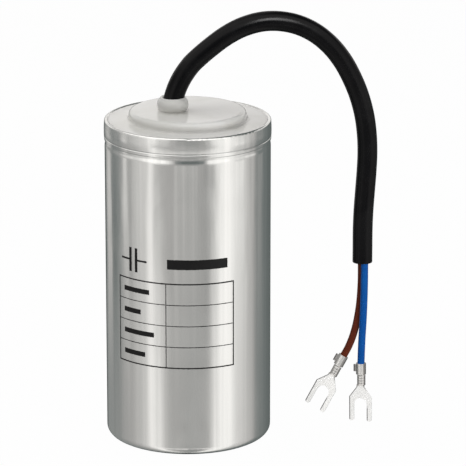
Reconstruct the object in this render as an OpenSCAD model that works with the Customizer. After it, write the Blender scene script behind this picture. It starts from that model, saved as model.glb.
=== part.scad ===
// Motor start capacitor: a drawn aluminium can with a rolled bead and lip, closed by a
// moulded cover. A two-core cable leaves the cover through a collar, arches over and hangs
// beside the can, and its two cores end in crimped fork terminals.
// Millimetres. The origin is the middle of the can's base, +Z is up.

/* [Can] */
// Outside diameter of the band round the can's mouth
can_d = 50; // [44:0.5:64]
// Height of the can from its base to the crest of the rolled lip
can_h = 98; // [80:1:140]
// How far the drawn wall stands in from the mouth band
wall_step = 0.2; // [0.1:0.05:0.4]
// How far the mouth band swells out between the bead and the lip
band_crown = 0.1; // [0.06:0.02:0.24]
// Radius of the edge between the wall and the base
base_edge_r = 2.5; // [1:0.1:6]
// Thickness of the wall round the mouth
mouth_wall = 0.95; // [0.8:0.05:1.1]
// Radius of the rolled lip that holds the cover in
lip_r = 0.6; // [0.56:0.02:0.8]

/* [Bead] */
// From the lip's crest down to the deepest line of the rolled bead
bead_drop = 6.25; // [6:0.05:12]
// Height of the bead's flank, from its deepest line down to the drawn wall
bead_run = 2; // [1.2:0.1:3]
// Depth of the bead below the drawn wall
bead_depth = 0.16; // [0.08:0.01:0.25]
// Radius of the bead's root under the mouth band
bead_root_r = 0.3; // [0.2:0.05:0.5]
// From the lip's crest down to the fine roll line
roll_line_drop = 4.9; // [2:0.1:5]
// Radius of the roller that pressed the roll line
roll_line_r = 0.3; // [0.2:0.05:0.5]
// Depth of the roll line
roll_line_depth = 0.15; // [0.05:0.05:0.2]

/* [Cover] */
// From the lip's crest down to the cover's seat in the can
seat_drop = 5.5; // [4:0.1:6]
// How far the cover's ring lies below the lip's crest
ring_drop = 0.2; // [0.1:0.05:0.4]
// Clearance between the cover and the can
cover_gap = 0.05; // [0.02:0.01:0.1]
// Diameter of the raised plateau
plateau_d = 35.2; // [30:0.2:40]
// Height of the plateau above the ring
plateau_h = 2.8; // [1.8:0.1:5]
// Radius of the plateau's top edge
plateau_edge_r = 1.4; // [0.5:0.1:1.8]
// Radius of the fillet at the plateau's foot
plateau_foot_r = 0.8; // [0.3:0.1:1.5]

/* [Collar] */
// Place of the collar, left of the can's axis
collar_left = 4.4; // [0:0.1:8]
// Place of the collar, in front of the can's axis
collar_front = 1; // [0:0.1:6]
// Height of the collar above the plateau
collar_h = 4.1; // [3.6:0.1:5]
// Height of the collar's widest place above the plateau
collar_bulge_h = 1.8; // [1.6:0.1:2.4]
// Wall of the collar at its lip
collar_wall = 0.75; // [0.6:0.05:1.5]
// How far the widest place stands out past the lip
collar_bulge = 0.85; // [0.4:0.05:1.2]
// Radius of the lip's round edge
collar_lip_r = 0.35; // [0.2:0.05:0.4]
// Radius of the fillet at the collar's foot
collar_foot_r = 0.6; // [0.3:0.05:1]

/* [Cable] */
// Diameter of the cable's sheath
cable_d = 6; // [5.4:0.1:7.4]
// Clearance round the cable in the cover
cable_gap = 0.1; // [0.06:0.02:0.3]
// Diameter of a core over its insulation
core_d = 2.2; // [1.8:0.1:2.6]
// Gap between the two cores where they leave the sheath
core_gap = 0.2; // [0.05:0.05:0.6]
// Diameter of a core's stranded conductor
conductor_d = 1; // [0.8:0.05:1.3]

/* [Terminals] */
// Thickness of the stamped strip
strip_t = 0.4; // [0.3:0.05:0.5]
// Clearance between a core and the barrel that grips it
grip_gap = 0.03; // [0.01:0.01:0.06]
// Length of the barrel that grips the insulation
grip_l = 3.4; // [2.6:0.1:4]
// Width of the seam where the grip's wings meet
grip_seam = 0.15; // [0.05:0.05:0.4]
// How far the ear of the outer wing stands out from the grip
ear_out = 1; // [0.3:0.05:1.5]
// Length of the ear along the grip
ear_l = 2.2; // [1:0.1:2.5]
// Length of the open window between the two barrels
window_l = 0.5; // [0.3:0.1:1.5]
// Length of the barrel that is crimped on the conductor
crimp_l = 3.1; // [2.4:0.1:4]
// Wall of the crimped barrel beside the conductor
crimp_wall = 0.78; // [0.7:0.02:1]
// Wall left under the seam where the crimped wings curl in
crimp_seam_wall = 0.12; // [0.08:0.02:0.2]
// Length of conductor that shows past the crimp
brush_l = 0.35; // [0.1:0.05:0.8]
// Width of the neck between the crimp and the fork
neck_w = 2.4; // [2:0.1:3]
// Length of the neck
neck_l = 0.4; // [0.2:0.1:2]
// Length of the sloping shoulders
shoulder_l = 3.2; // [2:0.1:5]
// Length of the fork below its shoulders
fork_l = 7.8; // [6:0.1:8.4]
// Width across the fork
fork_w = 7; // [6.4:0.1:9]
// Width of the slot for the terminal screw
slot_w = 4; // [3:0.1:4.6]
// From the shoulders' end down to the root of the slot
root_web = 0.4; // [0:0.1:1.5]

/* [Hidden] */
$fn = 64;

// Overlap that lets joined shapes of one solid share volume
joint = 0.3;

// Can
can_r = can_d / 2;
wall_r = can_r - wall_step;
mouth_r = can_r - mouth_wall;
seat_z = can_h - seat_drop;
lip_z = can_h - lip_r;

// The bead's flank is a hollow arc and a round shoulder of one radius, which meet half way
bead_z = can_h - bead_drop;
bead_low_r = wall_r - bead_depth;
bead_arc_r = (pow(bead_run, 2) + pow(bead_depth, 2)) / (4 * bead_depth);

// The mouth band is an arc from the bead to the lip, and the lip's circle touches it from inside
band_half_h = (lip_z - bead_z) / 2;
band_z = bead_z + band_half_h;
band_arc_r = (pow(band_half_h, 2) + pow(band_crown, 2)) / (2 * band_crown);
lip_lean = asin(band_half_h / (band_arc_r - lip_r));
band_top = band_z + band_arc_r * sin(lip_lean);
lip_mid = [can_r - band_arc_r + (band_arc_r - lip_r) * cos(lip_lean), lip_z];

// Cover
cover_r = mouth_r - cover_gap;
ring_z = can_h - ring_drop;
plateau_r = plateau_d / 2;
plateau_z = ring_z + plateau_h;

// Collar: its outline is one arc that passes through the lip and the widest place
bore_r = cable_d / 2 + cable_gap;
collar_lip_h = collar_h - collar_lip_r;
collar_side_r = bore_r + collar_wall;
collar_bulge_r = collar_side_r + collar_bulge;
collar_lift = collar_lip_h - collar_bulge_h;
collar_arc_r = (pow(collar_lift, 2) + pow(collar_bulge, 2)) / (2 * collar_bulge);

// The cable lies in one upright plane, turned about the can's axis. Its bend starts inside the
// cover, and its middle line crosses the collar's axis half way up the bend inside it.
cable_turn = 7;
bend_r = 24;
bend_start_z = can_h + 0.5;
bend_angle = 45;
bend_step = 7.5;
bend_lift = plateau_z + collar_h - bend_start_z;
bend_lean = bend_r - sqrt(pow(bend_r, 2) - pow(bend_lift, 2));
bore_bend = asin(bend_lift / bend_r) + 5;
function bend_point(angle) = [bend_r * (1 - cos(angle)), bend_start_z - can_h + bend_r * sin(angle)];

// Routes: [reach from the cable's foot, height above the lip's crest]
sheath_route = concat(
    [[0, -seat_drop], [0, -seat_drop / 2]],
    [for (angle = [0 : bend_step : bend_angle]) bend_point(angle)],
    [[11.5, 21.3], [16.5, 24.9], [21.5, 27.4], [27, 28.8], [32.5, 28.8], [38, 27.5],
     [43.2, 24.8], [47.7, 20.9], [51.2, 16.4], [53.9, 11.5], [56.2, 6], [57.9, 0],
     [58.8, -6], [59.1, -12], [58.9, -18], [58.5, -24], [58.1, -30], [57.9, -36],
     [57.9, -42], [57.9, -46.5]]);
core_end_tilt_blue = -0.7;
core_end_tilt_brown = 28.4;
core_end_twist_blue = -23;
core_end_twist_brown = -30;
blue_terminal_at = [57.6, -78.4];
brown_terminal_at = [52.6, -76.5];
blue_route = concat(
    [[58.4, -46.5], [58.4, -53], [58.3, -59], [58.1, -65], [57.8, -71]],
    grip_run(blue_terminal_at, core_end_tilt_blue));
brown_route = concat(
    [[57.8, -46.5], [57.8, -53.5], [57.4, -60], [56.6, -65.5], [55.5, -70], [54.1, -73.7]],
    grip_run(brown_terminal_at, core_end_tilt_brown));
blue_side = -(core_d + core_gap) / 2;
brown_side = (core_d + core_gap) / 2;
function grip_run(spot, tilt) = [spot, spot - grip_l * [sin(tilt), cos(tilt)]];

// Sides of the swept tubes
sheath_sides = 12;
core_sides = 8;

// Terminal, from its cable end down
grip_r = core_d / 2 + grip_gap;
grip_out_r = grip_r + strip_t;
ear_mid = (grip_r + strip_t / 2) * cos(45);
ear_drop = 0.8;
bridge_w = 1.2;
conductor_r = conductor_d / 2;
crimp_half_w = conductor_r + crimp_wall;
lobe_overlap = 0.02;
lobe_r = crimp_half_w / 2 + lobe_overlap;
lobe_x = crimp_half_w - lobe_r;
lobe_y = conductor_r + crimp_seam_wall - sqrt(pow(lobe_r, 2) - pow(lobe_x, 2));
base_y = lobe_y - crimp_half_w;
ridge_count = 3;
ridge_gap = 0.22;
ridge_shrink = 0.94;
crimp_top = -grip_l - window_l;
crimp_foot = crimp_top - crimp_l;
shoulder_z = crimp_foot - neck_l;
fork_z = shoulder_z - shoulder_l;
tip_z = fork_z - fork_l;
prong_w = (fork_w - slot_w) / 2;
slot_mid_z = fork_z - root_web - slot_w / 2;

// The band round the mouth, which swells a little between the bead and the lip
module mouth_band() {
    intersection() {
        translate([0, bead_z])
            square([can_r + joint, band_top - bead_z]);
        translate([can_r - band_arc_r, band_z])
            circle(band_arc_r, $fn = 360);
    }
}

// The bead's hollow: a tight root under the band, and a flank that runs out into the drawn wall
module bead_hollow() {
    translate([bead_low_r + bead_root_r, bead_z]) {
        intersection() {
            circle(bead_root_r);
            translate([-bead_root_r, 0])
                square([2 * bead_root_r, bead_root_r]);
        }
        square([wall_step + bead_depth, bead_root_r]);
    }
    intersection() {
        translate([bead_low_r + bead_arc_r, bead_z])
            circle(bead_arc_r, $fn = 360);
        translate([bead_low_r - joint, bead_z - bead_run / 2])
            square([bead_depth + 2 * joint, bead_run / 2]);
    }
    difference() {
        translate([bead_low_r, bead_z - bead_run])
            square([bead_depth + joint, bead_run / 2]);
        translate([wall_r - bead_arc_r, bead_z - bead_run])
            circle(bead_arc_r, $fn = 360);
    }
}

// Half section of the can, which is sealed and stays one solid with the winding it holds
module can_section() {
    difference() {
        union() {
            square([wall_r - base_edge_r, base_edge_r]);
            translate([wall_r - base_edge_r, base_edge_r])
                circle(base_edge_r);
            translate([0, base_edge_r])
                square([wall_r, bead_z - base_edge_r]);
            mouth_band();
        }
        bead_hollow();
        translate([can_r - roll_line_depth + roll_line_r, can_h - roll_line_drop])
            circle(roll_line_r);
        translate([0, seat_z])
            square([mouth_r, seat_drop]);
    }
    translate(lip_mid)
        circle(lip_r);
}

module can() {
    color("#b9bcba")
        rotate_extrude($fn = 128)
            can_section();
}

// Half section of the cover without its collar: plug, ring and plateau
module cover_section() {
    difference() {
        union() {
            translate([0, seat_z])
                square([cover_r, ring_z - seat_z]);
            translate([0, ring_z - joint])
                square([plateau_r - plateau_edge_r, plateau_h + joint]);
            translate([0, ring_z - joint])
                square([plateau_r, plateau_h + joint - plateau_edge_r]);
            translate([plateau_r - plateau_edge_r, plateau_z - plateau_edge_r])
                circle(plateau_edge_r);
            difference() {
                translate([plateau_r - joint, ring_z - joint])
                    square([plateau_foot_r + joint, plateau_foot_r + joint]);
                translate([plateau_r + plateau_foot_r, ring_z + plateau_foot_r])
                    circle(plateau_foot_r);
            }
        }
        translate(lip_mid)
            circle(lip_r + cover_gap);
    }
}

// Half section of the collar, measured from the plateau
module collar_section() {
    intersection() {
        translate([collar_bulge_r - collar_arc_r, collar_bulge_h])
            circle(collar_arc_r);
        translate([0, -joint])
            square([collar_bulge_r, collar_lip_h + joint]);
    }
    translate([collar_side_r - collar_lip_r, collar_lip_h])
        circle(collar_lip_r);
    difference() {
        translate([0, -joint])
            square([collar_bulge_r, collar_foot_r + joint]);
        translate([collar_bulge_r, collar_foot_r])
            circle(collar_foot_r);
    }
}

// Puts what is drawn in the cable's plane in its place: X is reach, Z is height above the lip
module in_cable_plane() {
    translate([-collar_left, -collar_front, can_h])
        rotate([0, 0, cable_turn])
            translate([-bend_lean / 2, 0, 0])
                children();
}

// The way of the cable through the cover: straight up and a little wider, then round the bend
module cable_way() {
    in_cable_plane() {
        translate([0, 0, -seat_drop - joint])
            cylinder(h = seat_drop + 2 * joint + bend_start_z - can_h, r = bore_r + cable_gap);
        translate([bend_r, 0, bend_start_z - can_h])
            rotate([90, 0, 0])
                rotate([0, 0, 180 - bore_bend])
                    rotate_extrude(angle = bore_bend, $fn = 128)
                        translate([bend_r, 0])
                            circle(bore_r);
    }
}

module top_cover() {
    color("#dcdbd8")
        difference() {
            union() {
                rotate_extrude($fn = 128)
                    cover_section();
                translate([-collar_left, -collar_front, plateau_z])
                    rotate_extrude()
                        collar_section();
            }
            cable_way();
        }
}

function unit(v) = v / norm(v);
function spot3(route, i, side) = [route[i][0], side, route[i][1]];
function heading(route, i, side) =
    unit(spot3(route, min(i + 1, len(route) - 1), side) - spot3(route, max(i - 1, 0), side));
function ring_points(middle, ahead, r, sides) =
    let (across = [0, 1, 0], over = cross(ahead, across))
    [for (k = [0 : sides - 1]) middle + r * (cos(360 * k / sides) * across + sin(360 * k / sides) * over)];

// A round cord swept along a route in the cable's plane, at a side step from that plane
module cord(route, side, d, sides) {
    last = len(route) - 1;
    points = [for (i = [0 : last])
        each ring_points(spot3(route, i, side), heading(route, i, side), d / 2, sides)];
    skin = [for (i = [0 : last - 1]) for (k = [0 : sides - 1])
        [i * sides + k, i * sides + (k + 1) % sides,
         (i + 1) * sides + (k + 1) % sides, (i + 1) * sides + k]];
    start_cap = [for (k = [sides - 1 : -1 : 0]) k];
    end_cap = [for (k = [0 : sides - 1]) last * sides + k];
    in_cable_plane()
        polyhedron(points, concat(skin, [start_cap, end_cap]), convexity = 8);
}

module cable_sheath() {
    color("#1b1b1c")
        cord(sheath_route, 0, cable_d, sheath_sides);
}

module brown_core() {
    color("#63331f")
        cord(brown_route, brown_side, core_d, core_sides);
}

module blue_core() {
    color("#1a57a8")
        cord(blue_route, blue_side, core_d, core_sides);
}

// Puts a terminal, drawn hanging from its cable end, on the end of a core
module at_core_end(spot, side, tilt, twist) {
    in_cable_plane()
        translate([spot[0], side, spot[1]])
            rotate([0, tilt, 0])
                rotate([0, 0, twist])
                    children();
}

module conductor() {
    translate([0, 0, crimp_foot - brush_l])
        cylinder(h = window_l + crimp_l + brush_l, r = conductor_r);
}

module brown_conductor() {
    color("#b5683c")
        at_core_end(brown_terminal_at, brown_side, core_end_tilt_brown, core_end_twist_brown)
            conductor();
}

module blue_conductor() {
    color("#b5683c")
        at_core_end(blue_terminal_at, blue_side, core_end_tilt_blue, core_end_twist_blue)
            conductor();
}

// Insulation grip: the strip wraps the core, its wings meet behind, and one wing leaves an ear
module grip() {
    translate([0, 0, -grip_l])
        linear_extrude(grip_l)
            difference() {
                circle(grip_out_r);
                circle(grip_r);
                translate([-grip_seam / 2, 0])
                    square([grip_seam, grip_out_r + joint]);
            }
    translate([-grip_out_r - ear_out, ear_mid - strip_t / 2, -ear_drop - ear_l])
        cube([grip_out_r + ear_out - ear_mid, strip_t, ear_l]);
}

// The strip between the two barrels
module bridge() {
    rotate([90, 0, 90])
        linear_extrude(bridge_w, center = true)
            polygon([
                [-grip_out_r, joint - grip_l], [-grip_r, joint - grip_l], [-grip_r, -grip_l],
                [base_y + strip_t, crimp_top], [base_y + strip_t, crimp_top - joint],
                [base_y, crimp_top - joint], [base_y, crimp_top], [-grip_out_r, -grip_l]]);
}

// Outline of the crimp: a round base, and two wings curled in to meet at the seam behind
module crimp_outline() {
    intersection() {
        translate([0, lobe_y])
            circle(crimp_half_w);
        translate([-crimp_half_w, base_y])
            square([2 * crimp_half_w, crimp_half_w]);
    }
    for (side = [-1, 1])
        translate([side * lobe_x, lobe_y])
            circle(lobe_r);
}

// The crimped barrel, with the fine grooves that the crimping tool leaves
module crimp() {
    difference() {
        translate([0, 0, crimp_foot])
            linear_extrude(crimp_l)
                crimp_outline();
        for (i = [1 : ridge_count])
            translate([0, 0, crimp_foot + i * crimp_l / (ridge_count + 1) - ridge_gap / 2])
                linear_extrude(ridge_gap)
                    difference() {
                        square(4 * crimp_half_w, center = true);
                        scale(ridge_shrink)
                            crimp_outline();
                    }
    }
}

// Outline of the neck, the shoulders and the two prongs, seen from the front
module fork_outline() {
    difference() {
        union() {
            polygon([
                [-neck_w / 2, crimp_foot + joint], [neck_w / 2, crimp_foot + joint],
                [neck_w / 2, shoulder_z], [fork_w / 2, fork_z], [fork_w / 2, slot_mid_z],
                [-fork_w / 2, slot_mid_z], [-fork_w / 2, fork_z], [-neck_w / 2, shoulder_z]]);
            for (side = [-1, 1])
                translate([side * (fork_w - prong_w) / 2, tip_z + prong_w / 2]) {
                    circle(prong_w / 2);
                    translate([-prong_w / 2, 0])
                        square([prong_w, slot_mid_z + joint - tip_z - prong_w / 2]);
                }
        }
        translate([0, slot_mid_z])
            circle(slot_w / 2);
        translate([-slot_w / 2, tip_z])
            square([slot_w, slot_mid_z - tip_z]);
    }
}

module fork_terminal() {
    difference() {
        union() {
            grip();
            bridge();
            crimp();
            translate([0, base_y + strip_t, 0])
                rotate([90, 0, 0])
                    linear_extrude(strip_t)
                        fork_outline();
        }
        translate([0, 0, crimp_foot - brush_l])
            cylinder(h = window_l + crimp_l + brush_l, r = conductor_r);
    }
}

module brown_terminal() {
    color("#d6d6d3")
        at_core_end(brown_terminal_at, brown_side, core_end_tilt_brown, core_end_twist_brown)
            fork_terminal();
}

module blue_terminal() {
    color("#d6d6d3")
        at_core_end(blue_terminal_at, blue_side, core_end_tilt_blue, core_end_twist_blue)
            fork_terminal();
}

can();
top_cover();
cable_sheath();
brown_core();
blue_core();
brown_conductor();
blue_conductor();
brown_terminal();
blue_terminal();
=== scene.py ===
# %% [markdown]
# # A motor start capacitor
#
# The real object is a drawn aluminium can that holds a sealed winding. A milky plastic cover closes it, a
# black cable leaves the cover through a collar, and its blue and brown cores end in crimped fork terminals.
# The rigid pieces come in as a fixed frame at their real size. This lesson gives them their finish, makes
# the cable and its copper strands as meshes along their lines, and lights the whole as a small studio
# would.

# %% Load the frame
import math

import bpy
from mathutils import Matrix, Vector


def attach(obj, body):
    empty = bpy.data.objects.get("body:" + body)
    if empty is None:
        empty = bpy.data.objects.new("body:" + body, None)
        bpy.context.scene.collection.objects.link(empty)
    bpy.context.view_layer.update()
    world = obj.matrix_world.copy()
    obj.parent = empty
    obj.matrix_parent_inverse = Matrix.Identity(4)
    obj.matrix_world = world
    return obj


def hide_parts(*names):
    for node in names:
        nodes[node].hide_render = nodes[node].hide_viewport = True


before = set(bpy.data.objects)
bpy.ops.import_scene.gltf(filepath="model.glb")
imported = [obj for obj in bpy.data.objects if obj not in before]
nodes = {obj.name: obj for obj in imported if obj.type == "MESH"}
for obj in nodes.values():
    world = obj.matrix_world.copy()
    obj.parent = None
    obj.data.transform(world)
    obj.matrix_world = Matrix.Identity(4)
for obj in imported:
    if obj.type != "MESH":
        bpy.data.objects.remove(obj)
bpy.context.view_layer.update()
scene = bpy.context.scene
MM = 0.001
print("frame nodes:", ", ".join(sorted(nodes)))

# %% [markdown]
# ## The camera
#
# A product photograph is taken with a long lens from well back, so upright edges stay almost parallel. The
# lens could be found by trying, but it follows from how many pixels of the square picture one unit of
# distance covers. The camera stands a metre in front and looks down a little.

# %% Place the camera
PICTURE_PX = 466
FOCAL_PX = 3661
SENSOR_MM = 36
CAMERA_PLACE = Vector((13.5, -1056, 369.1)) * MM
LEVEL_LOOK = 90
CAMERA_PITCH = 16.2

camera_data = bpy.data.cameras.new("photo_camera")
camera_data.sensor_width = SENSOR_MM
camera_data.lens = SENSOR_MM * FOCAL_PX / PICTURE_PX
camera = bpy.data.objects.new("photo_camera", camera_data)
camera.location = CAMERA_PLACE
camera.rotation_euler = (math.radians(LEVEL_LOOK - CAMERA_PITCH), 0, 0)
scene.collection.objects.link(camera)
scene.camera = camera
print(f"camera lens {camera_data.lens:.0f} mm")

# %% [markdown]
# ## The cable's route
#
# The cable is one stiff length that keeps the bend it was packed with: it rises from the collar, arches
# over and hangs beside the can. A curve could be pulled into that shape by hand. Here the points are those
# of the solid model, so that the two agree. The cable lies in one upright plane, so a point is only a reach
# from the collar and a rise above the can's rim, in millimetres.

# %% Points of the sheath
COLLAR_LIP_RISE = 6.7
COVER_SEAT_RISE = -5.5
BEND_R = 24
BEND_START_RISE = 0.5
BEND_STEP = 7.5
BEND_STEPS = 6
bend_lift = COLLAR_LIP_RISE - BEND_START_RISE
bend_lean = BEND_R - math.sqrt(BEND_R**2 - bend_lift**2)
bend_angles = [math.radians(BEND_STEP * i) for i in range(BEND_STEPS + 1)]
bend_points = [(BEND_R * (1 - math.cos(a)), BEND_START_RISE + BEND_R * math.sin(a)) for a in bend_angles]

SHEATH_ROUTE = [(0, COVER_SEAT_RISE), (0, COVER_SEAT_RISE / 2)] + bend_points + [
    (11.5, 21.3), (16.5, 24.9), (21.5, 27.4), (27, 28.8), (32.5, 28.8), (38, 27.5),
    (43.2, 24.8), (47.7, 20.9), (51.2, 16.4), (53.9, 11.5), (56.2, 6), (57.9, 0),
    (58.8, -6), (59.1, -12), (58.9, -18), (58.5, -24), (58.1, -30), (57.9, -36),
    (57.9, -42), (57.9, -46.5),
]
print("points of the sheath:", len(SHEATH_ROUTE))

# %% [markdown]
# ## From points to a line
#
# A curve object has handles to set at each point. A cubic curve that passes through all its points, with
# slopes taken from their neighbours, needs none, and a few lines of code draw it. A second helper turns the
# cable's plane a little towards the back and gives its points as places in metres.

# %% Lines through points
CAN_HEIGHT = 98
COLLAR_AXIS = Vector((-4.4, -1, 0))
CABLE_TURN = math.radians(7)
ACROSS = Vector((-math.sin(CABLE_TURN), math.cos(CABLE_TURN), 0))
LINE_STEPS = 8


def in_cable_plane(reach, side, rise):
    """A point of the cable's plane, given in millimetres, as a place in metres."""
    flat = reach - bend_lean / 2
    x = flat * math.cos(CABLE_TURN) - side * math.sin(CABLE_TURN)
    y = flat * math.sin(CABLE_TURN) + side * math.cos(CABLE_TURN)
    return (COLLAR_AXIS + Vector((x, y, CAN_HEIGHT + rise))) * MM


def smooth_line(points):
    """Points along a smooth cubic curve that passes through all the given ones."""
    first = points[0] * 2 - points[1]
    last = points[-1] * 2 - points[-2]
    padded = [first] + points + [last]
    line = []
    for a, b, c, d in zip(padded, padded[1:], padded[2:], padded[3:]):
        for i in range(LINE_STEPS):
            t = i / LINE_STEPS
            line.append(0.5 * (2 * b + (c - a) * t + (2 * a - 5 * b + 4 * c - d) * t**2
                               + (3 * b - a - 3 * c + d) * t**3))
    return line + [points[-1]]


def length_of(line):
    """The sum of the line's short steps."""
    return sum((b - a).length for a, b in zip(line, line[1:]))


sheath_line = smooth_line([in_cable_plane(reach, 0, rise) for reach, rise in SHEATH_ROUTE])
print(f"sheath length {length_of(sheath_line) / MM:.1f} mm")

# %% [markdown]
# ## A tube builder
#
# A curve with a bevel would give a round cord quickly. A mesh built ring by ring gives more: a cut end with
# a wall and a recess, and a UV map that runs round and along the cord, so that the finish can follow it.

# %% Rings and tubes
def ring(middle, ahead, radius, sides):
    """Points of one ring that stands square to the line."""
    level = (ACROSS - ahead * ACROSS.dot(ahead)).normalized()
    upright = ahead.cross(level)
    turns = [2 * math.pi * k / sides for k in range(sides)]
    return [middle + radius * (math.cos(t) * level + math.sin(t) * upright) for t in turns]


def stations_along(line, radius, end_rings):
    """Each ring's middle, direction, radius and run. end_rings are (advance, radius) at the line's end."""
    stations = []
    run = 0.0
    for i, middle in enumerate(line):
        before = line[max(i - 1, 0)]
        after = line[min(i + 1, len(line) - 1)]
        run += (middle - before).length
        stations.append((middle, (after - before).normalized(), radius, run))
    middle, ahead, _, run = stations.pop() if end_rings else stations[-1]
    for advance, end_radius in end_rings:
        stations.append((middle + ahead * advance, ahead, end_radius, run + advance))
    return stations


def tube_parts(line, radius, sides, end_rings=()):
    """Vertices, faces and UVs of a tube along a line, closed at both ends."""
    stations = stations_along(line, radius, end_rings)
    verts = [p for middle, ahead, r, _ in stations for p in ring(middle, ahead, r, sides)]
    faces = []
    uvs = []
    for i in range(len(stations) - 1):
        near, far = i * sides, (i + 1) * sides
        low, high = stations[i][3], stations[i + 1][3]
        for k in range(sides):
            after = (k + 1) % sides
            faces.append((near + k, near + after, far + after, far + k))
            left, right = k / sides, (k + 1) / sides
            uvs += [(left, low), (right, low), (right, high), (left, high)]
    for cap in (range(sides)[::-1], range(len(verts) - sides, len(verts))):
        faces.append(tuple(cap))
        uvs += [(0, 0)] * sides
    return verts, faces, uvs


print("a test tube with four sides has", len(tube_parts(sheath_line[:2], MM, 4)[1]), "faces")

# %% [markdown]
# ## Tubes into pieces
#
# A piece of the scene is one object with one mesh, and a bundle of strands is still one piece. So this
# helper takes any number of tubes, joins their points and faces, and shades them smooth but for the sharp
# cut ends.

# %% One object from several tubes
TUBE_UV = "round_and_along"
SHARP_EDGE = math.radians(40)


def mesh_piece(name, parts):
    """One smooth-shaded object made of the given vertices, faces and UVs."""
    mesh = bpy.data.meshes.new(name)
    verts = [v for part in parts for v in part[0]]
    faces = []
    base = 0
    for part in parts:
        faces += [tuple(base + i for i in face) for face in part[1]]
        base += len(part[0])
    mesh.from_pydata(verts, [], faces)
    layer = mesh.uv_layers.new(name=TUBE_UV)
    for loop, uv in zip(layer.data, [uv for part in parts for uv in part[2]]):
        loop.uv = uv
    mesh.shade_smooth()
    mesh.set_sharp_from_angle(angle=SHARP_EDGE)
    piece = bpy.data.objects.new(name, mesh)
    scene.collection.objects.link(piece)
    return piece


print(f"edges sharper than {math.degrees(SHARP_EDGE):.0f} degrees stay sharp")

# %% [markdown]
# ## The sheath
#
# The sheath is extruded PVC, cut square at its lower end. The cut shows the sheath's own wall, and the two
# cores come out of the hollow inside it. That could be cut with a boolean, but a few extra rings do it with
# clean faces: they round the cut edge and step back into the hollow.

# %% Make the sheath
CABLE_R = 3
SHEATH_SIDES = 40
SHEATH_HOLLOW_R = 2.45
HOLLOW_DEPTH = 1.5
CUT_EDGE = 0.15
# The middle ring of the rounded edge lies this share of its radius from both faces
EDGE_MIDDLE = 0.3
cut_end = [
    (-CUT_EDGE * MM, CABLE_R * MM),
    (-EDGE_MIDDLE * CUT_EDGE * MM, (CABLE_R - EDGE_MIDDLE * CUT_EDGE) * MM),
    (0, (CABLE_R - CUT_EDGE) * MM),
    (0, SHEATH_HOLLOW_R * MM),
    (-HOLLOW_DEPTH * MM, SHEATH_HOLLOW_R * MM),
]
sheath = mesh_piece("sheath", [tube_parts(sheath_line, CABLE_R * MM, SHEATH_SIDES, cut_end)])
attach(sheath, "root")
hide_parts("cable_sheath")
print("sheath faces:", len(sheath.data.polygons))

# %% [markdown]
# ## The lines of the cores
#
# Each core runs from the hollow of the sheath into the grip of its terminal. The blue one hangs straight
# and the brown one swings out to the left, so their terminals hang at different tilts. The cores lie a step
# in front of and behind the sheath's plane, which keeps them clear of each other. The points are again the
# solid model's.

# %% Routes of the two cores
CORE_STEP = 1.2
GRIP_LENGTH = 3.4
BLUE_ROUTE = [(58.4, -46.5), (58.4, -53), (58.3, -59), (58.1, -65), (57.8, -71)]
BLUE_END = (57.6, -78.4)
BLUE_TILT = math.radians(-0.7)
BROWN_ROUTE = [(57.8, -46.5), (57.8, -53.5), (57.4, -60), (56.6, -65.5), (55.5, -70), (54.1, -73.7)]
BROWN_END = (52.6, -76.5)
BROWN_TILT = math.radians(28.4)


def along_terminal(end, tilt, depth):
    """Reach and rise of a point on a terminal's axis, at a depth below its cable end."""
    return end[0] - depth * math.sin(tilt), end[1] - depth * math.cos(tilt)


def core_line(route, end, side, tilt):
    """A core's line, from inside the sheath's hollow to the end of its terminal's grip."""
    start = (route[0][0], route[0][1] + HOLLOW_DEPTH)
    run = [start] + route + [end, along_terminal(end, tilt, GRIP_LENGTH)]
    return smooth_line([in_cable_plane(reach, side, rise) for reach, rise in run])


print("points of the cores:", len(BLUE_ROUTE), "blue and", len(BROWN_ROUTE), "brown")

# %% [markdown]
# ## Copper strands
#
# A core's bare end is a bundle of fine copper strands with a slight twist. It shows in the window between
# the terminal's two barrels and just past the crimp. One rod with a bump would do from afar. Seven real
# strands, one in the middle and six round it, also hold close by.

# %% Twist a bundle
STRAND_R = 0.165
STRAND_SIDES = 10
STRAND_PITCH = 12
STRANDS_ROUND = 6
STRAND_STEPS = 12
BARE_FROM = 3.4
BARE_TO = 7.35


def strand_bundle(name, end, side, tilt):
    """A middle strand and a ring of strands twisted round it."""
    parts = []
    for strand in range(STRANDS_ROUND + 1):
        line = []
        for i in range(STRAND_STEPS + 1):
            depth = BARE_FROM + (BARE_TO - BARE_FROM) * i / STRAND_STEPS
            turn = 2 * math.pi * (strand / STRANDS_ROUND + depth / STRAND_PITCH)
            offset = 2 * STRAND_R if strand < STRANDS_ROUND else 0
            reach, rise = along_terminal(end, tilt, depth)
            sideways = offset * math.cos(turn)
            line.append(in_cable_plane(reach + sideways * math.cos(tilt), side + offset * math.sin(turn),
                                       rise - sideways * math.sin(tilt)))
        parts.append(tube_parts(line, STRAND_R * MM, STRAND_SIDES))
    return mesh_piece(name, parts)


print(f"a bundle is {3 * 2 * STRAND_R:.2f} mm thick, three strands across")

# %% [markdown]
# ## Both cores
#
# A core, its strands and its terminal belong together: the cord is the core, and the other two hang on it.
# One function makes a core and its strands, hangs both on the root, hides the frame's own core and
# conductor, and it is called once for each colour.

# %% Make the cores
CORE_R = 1.1
CORE_SIDES = 24


def make_core(colour, route, end, side, tilt):
    """One core with its strands, both hung on the root in place of the frame's own."""
    line = core_line(route, end, side, tilt)
    core = mesh_piece(f"{colour}_insulation", [tube_parts(line, CORE_R * MM, CORE_SIDES)])
    strands = strand_bundle(f"{colour}_strands", end, side, tilt)
    for piece, node, slot in ((core, "core", f"{colour}_insulation"), (strands, "conductor", "copper")):
        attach(piece, "root")
        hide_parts(f"{colour}_{node}")
    print(f"{colour} core length {length_of(line) / MM:.1f} mm")
    return core, strands


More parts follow.
